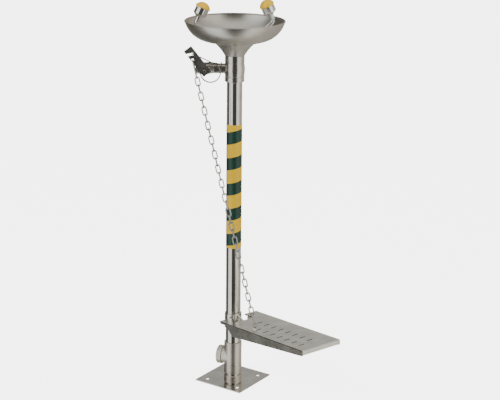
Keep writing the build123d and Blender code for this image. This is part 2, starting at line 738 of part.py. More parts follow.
rest_point = Vector(-boss_reach + 12, 0, inlet_z + boss_r + spring_wire / 2 + 0.6)
leg_angle = tangent_angle(notch_catch, -1)
rest_angle = tangent_angle(rest_point, 1)
coil_sweep = 4 * pi + leg_angle - rest_angle
coil_back = -spring_back_y
coil_front = coil_back - spring_pitch * coil_sweep / (2 * pi)
leg_start = on_coil(leg_angle, coil_front)
rest_start = on_coil(rest_angle, coil_back)
wire_r = spring_wire / 2
with BuildPart() as return_spring:
    coil_points = 48
    with BuildLine() as coil_path:
        Spline(*[
            on_coil(
                rest_angle + coil_sweep * i / coil_points,
                coil_back + (coil_front - coil_back) * i / coil_points,
            )
            for i in range(coil_points + 1)
        ])
    with BuildSketch(Plane(origin=coil_path.wires()[0] @ 0, z_dir=coil_path.wires()[0] % 0)):
        Circle(wire_r)
    sweep(path=coil_path.wires()[0])
    catch_back = Vector(notch_catch.X, coil_front, notch_catch.Z)
    catch_front = Vector(notch_catch.X, -lever_y - lever_t - 4, notch_catch.Z)
    with BuildLine() as leg_path:
        FilletPolyline(leg_start, catch_back, catch_front, radius=3)
    with BuildSketch(Plane(origin=leg_path.wires()[0] @ 0, z_dir=leg_path.wires()[0] % 0)):
        Circle(wire_r)
    sweep(path=leg_path.wires()[0])
    rest_corner = Vector(rest_point.X, coil_back, rest_point.Z)
    rest_end = Vector(rest_point.X, 7, rest_point.Z)
    with BuildLine() as rest_path:
        FilletPolyline(rest_start, rest_corner, rest_end, radius=4)
    with BuildSketch(Plane(origin=rest_path.wires()[0] @ 0, z_dir=rest_path.wires()[0] % 0)):
        Circle(wire_r)
    sweep(path=rest_path.wires()[0])
save(return_spring, "return_spring")

# ================================================================== hinge collar and lug
treadle_dir = turned(treadle_turn)
across = up.cross(treadle_dir)  # from the near side of the treadle to the far side
with BuildPart() as hinge_collar:
    with BuildSketch(Plane.XY.offset(collar_bottom)):
        Circle(collar_r)
        Circle(pipe_r, mode=Mode.SUBTRACT)
    extrude(amount=collar_top - collar_bottom)
    chamfer(hinge_collar.edges().group_by(Axis.Z)[-1].sort_by(SortBy.LENGTH)[-1], 0.8)
save(hinge_collar, "hinge_collar")

side_view = Plane(origin=across * (lug_t / 2), x_dir=treadle_dir, z_dir=across * -1)
with BuildPart() as hinge_lug:
    with BuildSketch(side_view):
        with BuildLine():
            Polyline(
                (collar_r - 4, collar_top - 1), (collar_r - 4, collar_bottom + 4),
                (pivot_u - 4, pivot_z - lug_tip_r + 1),
            )
        with Locations((pivot_u, pivot_z)):
            Circle(lug_tip_r)
        make_hull()
        with Locations((pivot_u, pivot_z)):
            Circle(pin_r + run_gap, mode=Mode.SUBTRACT)
    extrude(amount=lug_t)
    with BuildSketch(Plane.XY.offset(collar_bottom)):
        Circle(collar_r)
    extrude(amount=collar_top - collar_bottom, mode=Mode.SUBTRACT)
save(hinge_lug, "hinge_lug")

# ================================================================== treadle
tilt = radians(treadle_tilt)
treadle_x = treadle_dir * cos(tilt) + up * sin(tilt)
treadle_n = treadle_dir * -sin(tilt) + up * cos(tilt)
top_plane = Plane(origin=(0, 0, treadle_z), x_dir=treadle_x, z_dir=treadle_n)
pivot_point = treadle_dir * pivot_u + up * pivot_z
pivot_local = top_plane.to_local_coords(pivot_point)
treadle_w = treadle_far - treadle_near
with BuildPart() as treadle_plate:
    profile_plane = Plane(
        origin=top_plane.origin + across * treadle_far, x_dir=treadle_x, z_dir=across * -1,
    )
    with BuildSketch(profile_plane):
        with BuildLine():
            FilletPolyline(
                (treadle_rear, 0), (treadle_front, 0), (treadle_front, -lip_h), radius=bend_r,
            )
            Polyline(
                (treadle_front, -lip_h), (treadle_front - sheet_t, -lip_h),
                (treadle_front - sheet_t, -sheet_t), (treadle_rear, -sheet_t), (treadle_rear, 0),
            )
        make_face()
    extrude(amount=treadle_w)
    with BuildSketch(top_plane.offset(-sheet_t - 1)):
        with Locations(((treadle_rear + notch_end) / 2 - 5, (notch_near + notch_far) / 2)):
            Rectangle(notch_end - treadle_rear + 10, notch_far - notch_near)
        for row_v, start, count in slot_rows:
            for k in range(count):
                with Locations((slot_first + (start + k) * slot_pitch, row_v)):
                    SlotOverall(slot_len, slot_w, rotation=90)
        with Locations((eye_u, eye_v)):
            Circle(eye_stem_r)
    extrude(amount=sheet_t + 2, mode=Mode.SUBTRACT)
save(treadle_plate, "treadle_plate")

rib_front = treadle_front - sheet_t - 0.5
for rib_name, rib_outer in (("near", treadle_near + rib_inset),
                            ("far", treadle_far - rib_inset - rib_t)):
    rib_plane = Plane(
        origin=top_plane.origin + across * (rib_outer + rib_t), x_dir=treadle_x,
        z_dir=across * -1,
    )
    with BuildPart() as treadle_rib:
        with BuildSketch(rib_plane):
            with BuildLine():
                Polyline(
                    (treadle_rear + 1, -sheet_t), (rib_front, -sheet_t),
                    (rib_front, -rib_shallow + 1), (rib_front - 8, -rib_shallow),
                    (rib_full, -rib_deep), (rib_start, -rib_heel),
                    (treadle_rear + 1, -rib_heel), (treadle_rear + 1, -sheet_t),
                )
            make_face()
        extrude(amount=rib_t)
    save(treadle_rib, f"treadle_rib_{rib_name}")

for cheek_name, cheek_outer in (("near", notch_near - cheek_t), ("far", notch_far)):
    cheek_plane = Plane(
        origin=top_plane.origin + across * (cheek_outer + cheek_t), x_dir=treadle_x,
        z_dir=across * -1,
    )
    with BuildPart() as hinge_cheek:
        with BuildSketch(cheek_plane) as cheek_sketch:
            with BuildLine():
                Polyline(
                    (cheek_from, -sheet_t), (cheek_to, -sheet_t), (cheek_to - 8, -cheek_deep),
                    (cheek_from + 2, -cheek_deep), (cheek_from, -sheet_t),
                )
            make_face()
            fillet(cheek_sketch.vertices().group_by(Axis.Z)[0], 4)
            with Locations((pivot_local.X, pivot_local.Z)):
                Circle(pin_r, mode=Mode.SUBTRACT)
        extrude(amount=cheek_t)
    save(hinge_cheek, f"hinge_cheek_{cheek_name}")

# pin, spacers, nut: along the hinge axis, placed from the lug and the cheeks
pin_plane = Plane(origin=pivot_point, x_dir=treadle_dir, z_dir=across)
near_face = notch_near - cheek_t
far_face = notch_far + cheek_t
with BuildPart() as hinge_pin:
    with BuildSketch(pin_plane.offset(near_face)):
        Circle(pin_r)
    extrude(amount=far_face - near_face + washer_t + nut_t + pin_past)
    with BuildSketch(pin_plane.offset(near_face - head_t)):
        RegularPolygon(hex_radius(pin_nut), 6)
    extrude(amount=head_t)
save(hinge_pin, "hinge_pin")

with BuildPart() as hinge_spacers:
    for spacer_from, spacer_to in ((notch_near, -lug_t / 2 - part_gap),
                                   (lug_t / 2 + part_gap, notch_far)):
        with BuildSketch(pin_plane.offset(spacer_from)):
            Circle(spacer_r)
            Circle(pin_r, mode=Mode.SUBTRACT)
        extrude(amount=spacer_to - spacer_from)
save(hinge_spacers, "hinge_spacers")

with BuildPart() as hinge_washer:
    with BuildSketch(pin_plane.offset(far_face)):
        Circle(washer_r)
        Circle(pin_r, mode=Mode.SUBTRACT)
    extrude(amount=washer_t)
save(hinge_washer, "hinge_washer")

with BuildPart() as hinge_nut:
    with BuildSketch(pin_plane.offset(far_face + washer_t)):
        RegularPolygon(hex_radius(pin_nut), 6)
        Circle(pin_r, mode=Mode.SUBTRACT)
    extrude(amount=nut_t)
save(hinge_nut, "hinge_nut")

# ================================================================== chain and its eye bolt
eye_foot = top_plane.from_local_coords((eye_u, eye_v, 0))
eye_centre = eye_foot + treadle_n * eye_h
hole_centre = (
    stem_point + lever_dir * hole_along + lever_side * hole_side + Vector(0, -lever_t / 2, 0)
)
span = eye_centre - hole_centre
chain_dir = span.normalized()
front = Vector(0, -1, 0)
face_normal = (front - chain_dir * front.dot(chain_dir)).normalized()
sideways = chain_dir.cross(face_normal)
eye_stem_low = sheet_t + small_nut_t + eye_stem_past
with BuildPart() as eye_bolt:
    with BuildSketch(Plane(origin=eye_centre + sideways * eye_ring_r, x_dir=sideways,
                           z_dir=face_normal.cross(sideways))):
        Circle(eye_wire_r)
    revolve(axis=Axis(origin=eye_centre, direction=face_normal))
    with BuildSketch(Plane(origin=eye_foot - treadle_n * eye_stem_low, z_dir=treadle_n)):
        Circle(eye_stem_r)
    extrude(amount=eye_stem_low + eye_h - eye_ring_r)
save(eye_bolt, "eye_bolt")

with BuildPart() as eye_nuts:
    for nut_from, nut_h in ((0.0, thin_nut_t), (-sheet_t - small_nut_t, small_nut_t)):
        with BuildSketch(Plane(origin=eye_foot + treadle_n * nut_from, z_dir=treadle_n)):
            RegularPolygon(hex_radius(small_nut), 6)
            Circle(eye_stem_r, mode=Mode.SUBTRACT)
        extrude(amount=nut_h)
save(eye_nuts, "eye_nuts")

wire = chain_wire / 2
top_rest = hole_r - wire - hang_gap  # wire hangs low in the lever's hole
foot_rest = eye_ring_r - eye_wire_r - wire - hang_gap
chain_run = span.length - top_rest - foot_rest - top_link_line - end_link_line + chain_wire + link_gap
link_pairs = round((chain_run / link_nominal - 1) / 2)
link_count = 2 * link_pairs + 1  # odd, so both end links face the same way
link_pitch = chain_run / link_count
link_line = link_pitch + chain_wire + link_gap  # between the wire centres at a link's ends


def chain_link(width, line):
    """One link on the origin, long along Z and wide along X, from its length between wires."""
    bend = (width - chain_wire) / 2
    run = line / 2 - bend
    with BuildPart() as link:
        for sign in (1, -1):
            with BuildSketch(Plane.XY.offset(-run)):
                with Locations((sign * bend, 0)):
                    Circle(wire)
            extrude(amount=2 * run)
            with BuildSketch(Plane.XY.offset(sign * run)):
                with Locations((bend, 0)):
                    Circle(wire)
            revolve(axis=Axis((0, 0, sign * run), (0, -sign, 0)), revolution_arc=180)
    return link.part


def link_place(along, wide):
    """Place of a link from its middle's distance below the lever's hole and its wide way."""
    return Plane(origin=hole_centre + chain_dir * along, x_dir=wide, z_dir=chain_dir).location


first_wire = top_rest + top_link_line - chain_wire - link_gap       # of the first plain link
with BuildPart() as top_link:
    with Locations(link_place(top_rest + top_link_line / 2, face_normal)):
        add(chain_link(top_link_w, top_link_line))
save(top_link, "top_link")

plain_link = chain_link(link_w, link_line)
with BuildPart() as chain_links:
    with Locations(*[
        link_place(first_wire + link_line / 2 + k * link_pitch, sideways if k % 2 == 0 else face_normal)
        for k in range(link_count)
    ]):
        add(plain_link)
save(chain_links, "chain_links")

with BuildPart() as end_link:
    with Locations(link_place(span.length - foot_rest - end_link_line / 2, face_normal)):
        add(chain_link(link_w, end_link_line))
save(end_link, "end_link")
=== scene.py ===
"""Looks of the pedestal eyewash station: finishes, turned shells, chain, studio and camera."""

import logging
import math
from dataclasses import dataclass, field
from enum import Enum
from typing import Any

import bmesh
import bpy
from mathutils import Matrix, Vector


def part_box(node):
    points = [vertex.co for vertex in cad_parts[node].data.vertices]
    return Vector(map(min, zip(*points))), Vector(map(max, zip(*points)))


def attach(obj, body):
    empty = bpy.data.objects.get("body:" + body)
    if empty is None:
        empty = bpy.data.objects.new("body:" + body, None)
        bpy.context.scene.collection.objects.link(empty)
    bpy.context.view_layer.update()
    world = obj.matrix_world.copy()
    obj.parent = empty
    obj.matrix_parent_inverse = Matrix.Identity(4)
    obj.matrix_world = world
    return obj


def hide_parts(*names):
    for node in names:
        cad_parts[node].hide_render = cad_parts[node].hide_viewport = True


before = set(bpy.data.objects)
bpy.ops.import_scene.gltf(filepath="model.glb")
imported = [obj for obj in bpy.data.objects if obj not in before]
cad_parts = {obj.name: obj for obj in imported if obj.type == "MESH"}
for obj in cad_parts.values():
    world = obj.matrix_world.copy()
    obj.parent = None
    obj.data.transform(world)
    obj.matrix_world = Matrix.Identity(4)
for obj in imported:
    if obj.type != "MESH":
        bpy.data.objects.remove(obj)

LOG = logging.getLogger("eyewash")
MM = 0.001
UP = Vector((0.0, 0.0, 1.0))


# ------------------------------------------------------------------ shader helpers
class Flow:
    """A node socket that takes part in Python arithmetic."""

    def __init__(self, graph: "Graph", socket: Any) -> None:
        """Keep the graph and the output socket."""
        self.graph = graph
        self.socket = socket

    def _math(self, operation: str, *values: Any) -> "Flow":
        """Add one Math node.

        Args:
            operation: the Math node's operation.
            values: its inputs, sockets or numbers.

        Returns:
            The node's value.
        """
        return self.graph.node("ShaderNodeMath", {"operation": operation}, dict(enumerate(values)))

    def __add__(self, other: Any) -> "Flow":
        """Sum."""
        return self._math("ADD", self, other)

    def __radd__(self, other: Any) -> "Flow":
        """Sum, reflected."""
        return self._math("ADD", other, self)

    def __sub__(self, other: Any) -> "Flow":
        """Difference."""
        return self._math("SUBTRACT", self, other)

    def __rsub__(self, other: Any) -> "Flow":
        """Difference, reflected."""
        return self._math("SUBTRACT", other, self)

    def __mul__(self, other: Any) -> "Flow":
        """Product."""
        return self._math("MULTIPLY", self, other)

    def __rmul__(self, other: Any) -> "Flow":
        """Product, reflected."""
        return self._math("MULTIPLY", other, self)

    def __truediv__(self, other: Any) -> "Flow":
        """Quotient."""
        return self._math("DIVIDE", self, other)

    def __lt__(self, other: Any) -> "Flow":
        """One where this is the smaller."""
        return self._math("LESS_THAN", self, other)

    def turn(self, other: Any) -> "Flow":
        """Angle of the point whose sine side is this and whose cosine side is other."""
        return self._math("ARCTAN2", self, other)

    def part(self) -> "Flow":
        """Fractional part."""
        return self._math("FRACT", self)


class Graph:
    """The nodes of one material or world."""

    def __init__(self, tree: Any) -> None:
        """Start from an empty node tree."""
        self.tree = tree
        tree.nodes.clear()

    def node(self, kind: str, settings: dict[str, Any] | None = None,
             inputs: dict[Any, Any] | None = None, output: Any = 0) -> Flow:
        """Add a node, set it up, then fill or link its inputs.

        Args:
            kind: the node's type.
            settings: its properties; "stops" fills a colour ramp.
            inputs: socket name or number to a value or a Flow.
            output: name or number of the output wanted.

        Returns:
            The chosen output.
        """
        made = self.tree.nodes.new(kind)
        for key, value in (settings or {}).items():
            if key == "stops":
                self._stops(made.color_ramp, value)
            else:
                setattr(made, key, value)
        for key, value in (inputs or {}).items():
            if isinstance(value, Flow):
                self.tree.links.new(value.socket, made.inputs[key])
            else:
                made.inputs[key].default_value = value
        return Flow(self, made.outputs[output]) if made.outputs else Flow(self, None)

    @staticmethod
    def _stops(ramp: Any, stops: list[tuple[float, tuple[float, float, float]]]) -> None:
        """Lay the stops of a colour ramp."""
        while len(ramp.elements) > 1:
            ramp.elements.remove(ramp.elements[-1])
        ramp.elements[0].position, ramp.elements[0].color = stops[0][0], (*stops[0][1], 1.0)
        for place, colour in stops[1:]:
            ramp.elements.new(place).color = (*colour, 1.0)

    def axes(self, place: Flow) -> tuple[Flow, Flow, Flow]:
        """Split a vector into its three parts."""
        first = self.node("ShaderNodeSeparateXYZ", None, {0: place})
        outputs = first.socket.node.outputs
        return first, Flow(self, outputs[1]), Flow(self, outputs[2])


class Grain(Enum):
    """How a metal surface was finished."""

    TURNED = (900.0, 900.0, 40.0)
    DRAWN = (700.0, 700.0, 6.0)
    SATIN = (260.0, 260.0, 260.0)
    CAST = (420.0, 420.0, 420.0)


@dataclass(frozen=True)
class Metal:
    """A bare or plated metal with its working marks."""

    name: str
    tint: tuple[float, float, float]
    rough: float
    grain: Grain = Grain.SATIN
    mark: float = 0.06
    relief: float = 0.00004
    cloud: float = 0.12

    def make(self) -> bpy.types.Material:
        """Build the material.

        Returns:
            A procedural metal with clouding, fine marks and relief.
        """
        made = bpy.data.materials.new(self.name)
        made.use_nodes = True
        graph = Graph(made.node_tree)
        place = graph.node("ShaderNodeTexCoord", None, None, "Object")
        along = graph.node("ShaderNodeMapping", None, {"Vector": place, "Scale": self.grain.value})
        fine = graph.node("ShaderNodeTexNoise", None, {"Vector": along, "Scale": 1.0, "Detail": 3.0})
        broad = graph.node("ShaderNodeTexNoise", None, {"Vector": place, "Scale": 28.0, "Detail": 4.0})
        light = tuple(min(1.0, part * (1 + self.cloud)) for part in self.tint)
        dull = tuple(part * (1 - self.cloud) for part in self.tint)
        colour = graph.node("ShaderNodeValToRGB", {"stops": [(0.3, dull), (0.7, light)]}, {0: broad})
        rough = (fine - 0.5) * self.mark * 2 + (broad - 0.5) * self.mark + self.rough
        bump = graph.node("ShaderNodeBump", None, {"Strength": 0.5, "Distance": self.relief, "Height": fine})
        shader = graph.node("ShaderNodeBsdfPrincipled", None, {
            "Base Color": colour, "Roughness": rough, "Normal": bump, "Metallic": 1.0})
        graph.node("ShaderNodeOutputMaterial", None, {"Surface": shader})
        return made


@dataclass(frozen=True)
class Plastic:
    """A moulded plastic with faint flow marks."""

    name: str
    tint: tuple[float, float, float]
    rough: float = 0.3

    def make(self) -> bpy.types.Material:
        """Build the material."""
        made = bpy.data.materials.new(self.name)
        made.use_nodes = True
        graph = Graph(made.node_tree)
        place = graph.node("ShaderNodeTexCoord", None, None, "Object")
        flow = graph.node("ShaderNodeTexNoise", None, {"Vector": place, "Scale": 60.0, "Detail": 3.0})
        skin = graph.node("ShaderNodeTexNoise", None, {"Vector": place, "Scale": 1500.0, "Detail": 2.0})
        deep = tuple(part * 0.86 for part in self.tint)
        colour = graph.node("ShaderNodeValToRGB", {"stops": [(0.35, deep), (0.65, self.tint)]}, {0: flow})
        bump = graph.node("ShaderNodeBump", None, {"Strength": 0.3, "Distance": 0.00004, "Height": skin})
        shader = graph.node("ShaderNodeBsdfPrincipled", None, {
            "Base Color": colour, "Roughness": (flow - 0.5) * 0.12 + self.rough, "Normal": bump,
            "Coat Weight": 0.3})
        graph.node("ShaderNodeOutputMaterial", None, {"Surface": shader})
        return made


@dataclass(frozen=True)
class StripedTape:
    """Two-colour warning tape; its bands climb to the right and don't join at the back."""

    name: str
    yellow: tuple[float, float, float] = (0.86, 0.54, 0.004)
    green: tuple[float, float, float] = (0.005, 0.045, 0.030)
    first_top: float = 0.7364
    period: float = 0.0727
    band: float = 0.0345
    climb: float = 0.016

    def make(self) -> bpy.types.Material:
        """Build the material.

        Returns:
            Bands set out on height and on the angle round the pipe, with scuffs.
        """
        made = bpy.data.materials.new(self.name)
        made.use_nodes = True
        graph = Graph(made.node_tree)
        place = graph.node("ShaderNodeTexCoord", None, None, "Object")
        x, y, z = graph.axes(place)
        turn = x.turn(0.0 - y)
        height = (self.first_top - z + turn * (self.climb / math.pi)) / self.period
        mask = height.part() < (self.band / self.period)
        scuff = graph.node("ShaderNodeTexNoise", None, {"Vector": place, "Scale": 90.0, "Detail": 5.0})
        colour = graph.node("ShaderNodeMix", {"data_type": "RGBA"}, {
            0: mask, 6: (*self.yellow, 1.0), 7: (*self.green, 1.0)}, 2)
        worn = graph.node("ShaderNodeMix", {"data_type": "RGBA", "blend_type": "MULTIPLY"}, {
            0: 0.25, 6: colour, 7: graph.node("ShaderNodeValToRGB", {
                "stops": [(0.3, (0.75, 0.75, 0.72)), (0.7, (1.0, 1.0, 1.0))]}, {0: scuff})}, 2)
        bump = graph.node("ShaderNodeBump", None, {"Strength": 0.2, "Distance": 0.0001, "Height": scuff})
        shader = graph.node("ShaderNodeBsdfPrincipled", None, {
            "Base Color": worn, "Roughness": (scuff - 0.5) * 0.2 + 0.42, "Normal": bump})
        graph.node("ShaderNodeOutputMaterial", None, {"Surface": shader})
        return made


@dataclass
class Shop:
    """Every finish of the station, each made once."""

    made: dict[str, bpy.types.Material] = field(default_factory=dict)

    def stock(self) -> None:
        """Make all the finishes."""
        for finish in (
            Metal("polished_tube", (0.66, 0.65, 0.61), 0.10, Grain.DRAWN, 0.05),
            Metal("spun_bowl", (0.60, 0.58, 0.53), 0.34, Grain.TURNED, 0.08),
            Metal("satin_sheet", (0.84, 0.82, 0.77), 0.30, Grain.SATIN, 0.08),
            Metal("base_sheet", (0.66, 0.65, 0.60), 0.14, Grain.SATIN, 0.06),
            Metal("cast_fitting", (0.66, 0.64, 0.59), 0.20, Grain.CAST, 0.10, 0.00012),
            Metal("waste_fitting", (0.68, 0.63, 0.57), 0.40, Grain.CAST, 0.10, 0.00015),
            Metal("chrome_plate", (0.80, 0.80, 0.79), 0.06, Grain.SATIN, 0.03, 0.00001, 0.04),
            Metal("zinc_link", (0.52, 0.51, 0.48), 0.26, Grain.CAST, 0.12, 0.00008, 0.2),
            Metal("blued_steel", (0.24, 0.235, 0.22), 0.48, Grain.SATIN, 0.10, 0.00008, 0.25),
            Metal("spring_wire", (0.27, 0.26, 0.23), 0.30, Grain.SATIN, 0.08, 0.00005, 0.2),
            # painted shade: a dark colour for the treadle's sheared edges and slot walls, standing in for
            # the shadow under the plate and in its slots
            Metal("painted_shade_cut_faces", (0.20, 0.19, 0.17), 0.55, Grain.CAST, 0.10, 0.0001, 0.2),
            Plastic("yellow_cap", (0.88, 0.54, 0.004), 0.28),
            Plastic("white_insert", (0.82, 0.82, 0.79), 0.4),
            StripedTape("warning_tape"),
        ):
            self.made[finish.name] = finish.make()

    def dress(self, finish: str, *nodes: str) -> None:
        """Give CAD nodes a finish."""
        for node in nodes:
            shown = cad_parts[node]
            for place in shown.material_slots:
                place.material = self.made[finish]
            if not shown.material_slots:
                shown.data.materials.append(self.made[finish])


# ------------------------------------------------------------------ mesh helpers
class Turning:
    """A profile drawn in the XZ plane, then spun about Z."""

    def __init__(self, radius: float, height: float) -> None:
        """Start the profile, in millimetres."""
        self.shape = bmesh.new()
        self.last = self.shape.verts.new((radius * MM, 0.0, height * MM))

    def to(self, radius: float, height: float) -> "Turning":
        """Draw a straight run."""
        point = self.shape.verts.new((radius * MM, 0.0, height * MM))
        self.shape.edges.new((self.last, point))
        self.last = point
        return self

    def bend(self, radius: float, height: float, degrees: float, steps: int = 8) -> "Turning":
        """Draw an arc by spinning the last point about a centre.

        Args:
            radius: the centre's distance from the axis.
            height: the centre's height.
            degrees: how far to go round, positive from +X towards +Z.
            steps: edges in the arc.
        """
        made = bmesh.ops.spin(
            self.shape, geom=[self.last], cent=(radius * MM, 0.0, height * MM), axis=(0.0, -1.0, 0.0),
            angle=math.radians(degrees), steps=steps, use_duplicate=False)
        self.last = next(item for item in made["geom_last"] if isinstance(item, bmesh.types.BMVert))
        return self

    def finish(self, name: str, material: bpy.types.Material, steps: int = 112,
               place: Matrix | None = None) -> bpy.types.Object:
        """Spin the profile and make the object.

        Args:
            name: the piece's name.
            material: its finish.
            steps: faces round the axis.
            place: where the axis stands; the world's Z by default.

        Returns:
            The finished piece, at the origin.
        """
        bmesh.ops.spin(
            self.shape, geom=self.shape.verts[:] + self.shape.edges[:], cent=(0, 0, 0), axis=(0, 0, 1),
            angle=math.tau, steps=steps, use_merge=True)
        bmesh.ops.remove_doubles(self.shape, verts=self.shape.verts[:], dist=1e-6)
        return to_piece(self.shape, name, material, place)


def to_piece(shape: bmesh.types.BMesh, name: str, material: bpy.types.Material,
             place: Matrix | None = None, smooth_angle: float = 35.0) -> bpy.types.Object:
    """Turn a bmesh into a smooth-shaded object.

    Args:
        shape: the mesh; it is freed.
        name: the piece's name.
        material: its finish.
        place: transform applied to the mesh.
        smooth_angle: edges sharper than this stay sharp.

    Returns:
        The new object.
    """
    bmesh.ops.recalc_face_normals(shape, faces=shape.faces[:])
    if place is not None:
        shape.transform(place)
    for face in shape.faces:
        face.smooth = True
    for edge in shape.edges:
        edge.smooth = len(edge.link_faces) < 2 or edge.calc_face_angle(0.0) < math.radians(smooth_angle)
    mesh = bpy.data.meshes.new(name)
    shape.to_mesh(mesh)
    shape.free()
    mesh.materials.append(material)
    piece = bpy.data.objects.new(name, mesh)
    bpy.context.scene.collection.objects.link(piece)
    return piece


def stand_for(piece: bpy.types.Object, body: str, slot: str, *nodes: str) -> None:
    """Let a piece ride on a body and replace CAD nodes."""
    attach(piece, body)
    if nodes:
        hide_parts(*nodes)
    LOG.info("piece %s rides on %s", piece.name, body)


# ------------------------------------------------------------------ sub-assemblies
@dataclass
class Column:
    """Stand pipe with its striped tape."""

    radius: float = 21.2
    wall: float = 2.0
    bottom: float = 95.0
    top: float = 885.0
    tape_radius: float = 21.8
    tape_bottom: float = 400.0
    tape_top: float = 753.0

    def build(self, shop: Shop) -> None:
        """Make the pipe and the tape."""
        inner = self.radius - self.wall
        pipe = Turning(self.radius, self.bottom).to(self.radius, self.top).to(inner, self.top)
        pipe.to(inner, self.bottom).to(self.radius, self.bottom)
        stand_for(pipe.finish("column_pipe", shop.made["polished_tube"]), "stand", "stainless", "stand_pipe")
        tape = Turning(self.radius, self.tape_bottom).to(self.tape_radius, self.tape_bottom)
        tape.to(self.tape_radius, self.tape_top).to(self.radius, self.tape_top)
        tape.to(self.radius, self.tape_bottom)
        stand_for(tape.finish("column_tape", shop.made["warning_tape"]), "stand", "hazard_tape",
                  "hazard_sleeve")


@dataclass
class Basin:
    """Spun bowl with its rolled rim, and the cone below it."""

    rim_radius: float = 134.0
    rim_height: float = 1037.0
    roll: float = 2.2
    floor_height: float = 982.0
    floor_radius: float = 66.0
    drain: float = 30.0
    cone_radius: float = 62.0
    bead: float = 0.6
    bead_drop: float = 0.8
    roll_turn: float = 300.0
    wall: float = 1.2

    def bowl(self, shop: Shop) -> None:
        """Make the bowl."""
        run = self.rim_radius - self.floor_radius
        inner = self.roll - self.wall / 2
        rise = self.rim_height - self.roll - inner - self.floor_height
        curve = (run * run + rise * rise) / (2 * rise)
        sweep = math.degrees(math.asin(run / curve))
        shell = Turning(self.drain, self.floor_height).to(self.floor_radius, self.floor_height)
        shell.bend(self.floor_radius, self.floor_height + curve, sweep, 28)
        shell.bend(self.rim_radius, self.rim_height - self.roll, self.roll_turn, 14)
        bmesh.ops.remove_doubles(shell.shape, verts=shell.shape.verts[:], dist=1e-6)
        bowl = shell.finish("spun_basin", shop.made["spun_bowl"])
        thick = bowl.modifiers.new("wall", "SOLIDIFY")
        thick.thickness = self.wall * MM
        thick.offset = 0.0
        stand_for(bowl, "stand", "stainless", "bowl")

    def seam(self, shop: Shop) -> None:
        """Make the weld bead where the cone meets the bowl."""
        bead = Turning(self.cone_radius + self.bead, self.floor_height - self.bead_drop)
        bead.bend(self.cone_radius, self.floor_height - self.bead_drop, 360, 10)
        stand_for(bead.finish("cone_seam", shop.made["cast_fitting"]), "stand", "stainless")


@dataclass
class Treadle:
    """Pressed plate whose sheared edges and slot walls carry painted shade: a dark colour for the shadow
    under the plate and inside its slots.
    """

    turn: float = math.radians(-51.9)
    tilt: float = math.radians(4.5)
    lip_from: float = 355.0
    flat: float = 0.3

    def build(self, shop: Shop) -> None:
        """Copy the plate, merge its points and colour its cut faces dark as painted shade."""
        ahead = Vector((math.cos(self.turn), math.sin(self.turn), 0.0))
        run = ahead * math.cos(self.tilt) + UP * math.sin(self.tilt)
        normal = UP * math.cos(self.tilt) - ahead * math.sin(self.tilt)
        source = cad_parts["treadle_plate"]
        shape = bmesh.new()
        shape.from_mesh(source.data)
        shape.transform(source.matrix_world)
        bmesh.ops.remove_doubles(shape, verts=shape.verts[:], dist=1e-6)
        plate = to_piece(shape, "pressed_treadle", shop.made["satin_sheet"])
        plate.data.materials.append(shop.made["painted_shade_cut_faces"])
        # painted shade: faces standing across the plate, short of the lip, take the dark colour in place of
        # the shadow under and inside the plate
        for face in plate.data.polygons:
            painted_shade_face = abs(face.normal.dot(normal)) < self.flat and face.center.dot(run) < self.lip_from * MM
            face.material_index = int(painted_shade_face)
        stand_for(plate, "treadle", "stainless", "treadle_plate")


@dataclass
class SprayHead:
    """One domed cap over its cup."""

    side: str
    sign: int
    line: float = math.radians(17.9)
    lean: float = math.radians(25.4)
    reach: float = 101.0
    height: float = 1049.5
    cup_top: float = 24.85
    rim: float = 20.3
    flange: float = 3.0
    dome: float = 14.0
    edge: float = 0.8

    def place(self) -> Matrix:
        """Frame of the cup, Z along its axis."""
        out = Vector((math.cos(self.line), math.sin(self.line), 0.0)) * self.sign
        axis = (UP * math.cos(self.lean) - out * math.sin(self.lean)).normalized()
        base = (out * self.reach + UP * self.height) * MM
        return Matrix.Translation(base) @ axis.to_track_quat("Z", "Y").to_matrix().to_4x4()

    def build(self, shop: Shop) -> None:
        """Make the cap with its turned-over lip and crown."""
        low, high = self.cup_top, self.cup_top + self.flange
        curve = (self.rim**2 + self.dome**2) / (2 * self.dome)
        sweep = math.degrees(math.asin(self.rim / curve))
        cap = Turning(0.0, low).to(self.rim - self.edge, low).to(self.rim, low + self.edge)
        cap.to(self.rim, high)
        cap.bend(0.0, high + self.dome - curve, sweep, 16)
        stand_for(cap.finish(f"cap_crown_{self.side}", shop.made["yellow_cap"], 64, self.place()),
                  f"cap_{self.side}", "cap_yellow", f"dust_cap_{self.side}")


